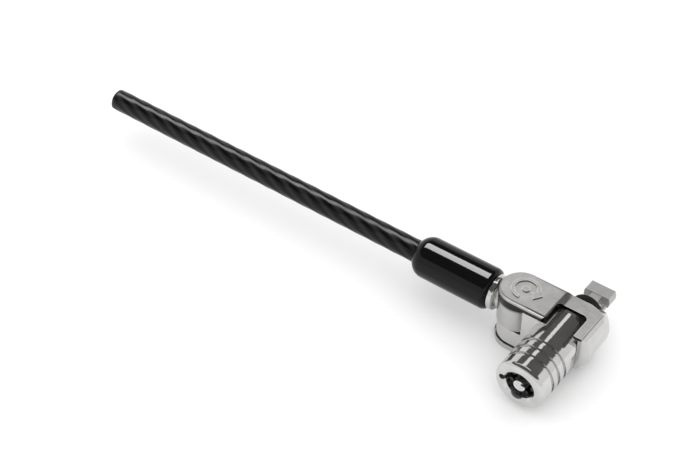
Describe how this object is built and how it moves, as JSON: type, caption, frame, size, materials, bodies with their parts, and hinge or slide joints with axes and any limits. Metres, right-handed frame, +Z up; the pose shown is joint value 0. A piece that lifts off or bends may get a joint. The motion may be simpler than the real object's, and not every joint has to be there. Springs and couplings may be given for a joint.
{
  "type": "laptop cable lock",
  "caption": "Laptop cable lock with a swinging tubular-key barrel, a turning T-bar for a security slot and a swivelling steel cable.",
  "frame": {"origin": "on the T-bar axis, level with the hinge pin that the barrel swings on", "axes": "+Y along the T-bar, away from the key face; -X along the cable, away from the head; +Z up, away from the flat foot"},
  "size_m": [0.1397, 0.036, 0.0154],
  "materials": {
    "polished_chrome": "polished",
    "satin_metal": "brushed satin",
    "tbar_steel": "matte, lightly grained",
    "core_steel": "satin",
    "plain_steel": "plain",
    "rope_steel": "drawn wire",
    "brass": "machined",
    "washer_rubber": "matte",
    "boot_plastic": "glossy",
    "jacket_plastic": "glossy, slightly see-through"
  },
  "bodies": {
    "lock_body": {"head_housing": "polished_chrome", "arm_plate": "satin_metal", "arm_dowels": "plain_steel", "hinge_pin": "plain_steel", "hinge_washers": "brass", "spindle_bush": "brass", "stop_pin": "plain_steel", "guide_pins": "tbar_steel", "rubber_washer": "washer_rubber"},
    "tbar_spindle": {"tbar": "tbar_steel", "drive_hub": "plain_steel", "hub_pin": "plain_steel"},
    "barrel": {"barrel_shell": "polished_chrome", "rear_plug": "satin_metal", "barrel_link": "satin_metal", "link_pin": "plain_steel", "pin_block": "brass", "driver_pins": "plain_steel", "pin_springs": "plain_steel"},
    "core": {"lock_core": "core_steel", "key_pins": "plain_steel", "tail_blade": "plain_steel"},
    "cable": {"swivel_stem": "plain_steel", "swivel_ring": "plain_steel", "swivel_collar": "polished_chrome", "cable_boot": "boot_plastic", "cable_jacket": "jacket_plastic", "wire_rope": "rope_steel"}
  },
  "joints": [
    {"name": "barrel_swing", "type": "hinge", "parent": "lock_body", "child": "barrel", "pos_m": [-0.0115, 0, 0], "axis": [0, 0, -1], "range_deg": [0, 90]},
    {"name": "key_turn", "type": "hinge", "parent": "barrel", "child": "core", "pos_m": [0, 0, 0], "axis": [0, 1, 0], "range_deg": [0, 90]},
    {"name": "tbar_turn", "type": "hinge", "parent": "lock_body", "child": "tbar_spindle", "pos_m": [0, 0, 0], "axis": [0, 1, 0], "range_deg": [0, 90]},
    {"name": "cable_swivel", "type": "hinge", "parent": "lock_body", "child": "cable", "pos_m": [-0.0168, 0, 0.0024], "axis": [1, 0, 0], "continuous": true}
  ],
  "couplings": [
    {"joint": "tbar_turn", "follows": "key_turn", "ratio": 1}
  ]
}
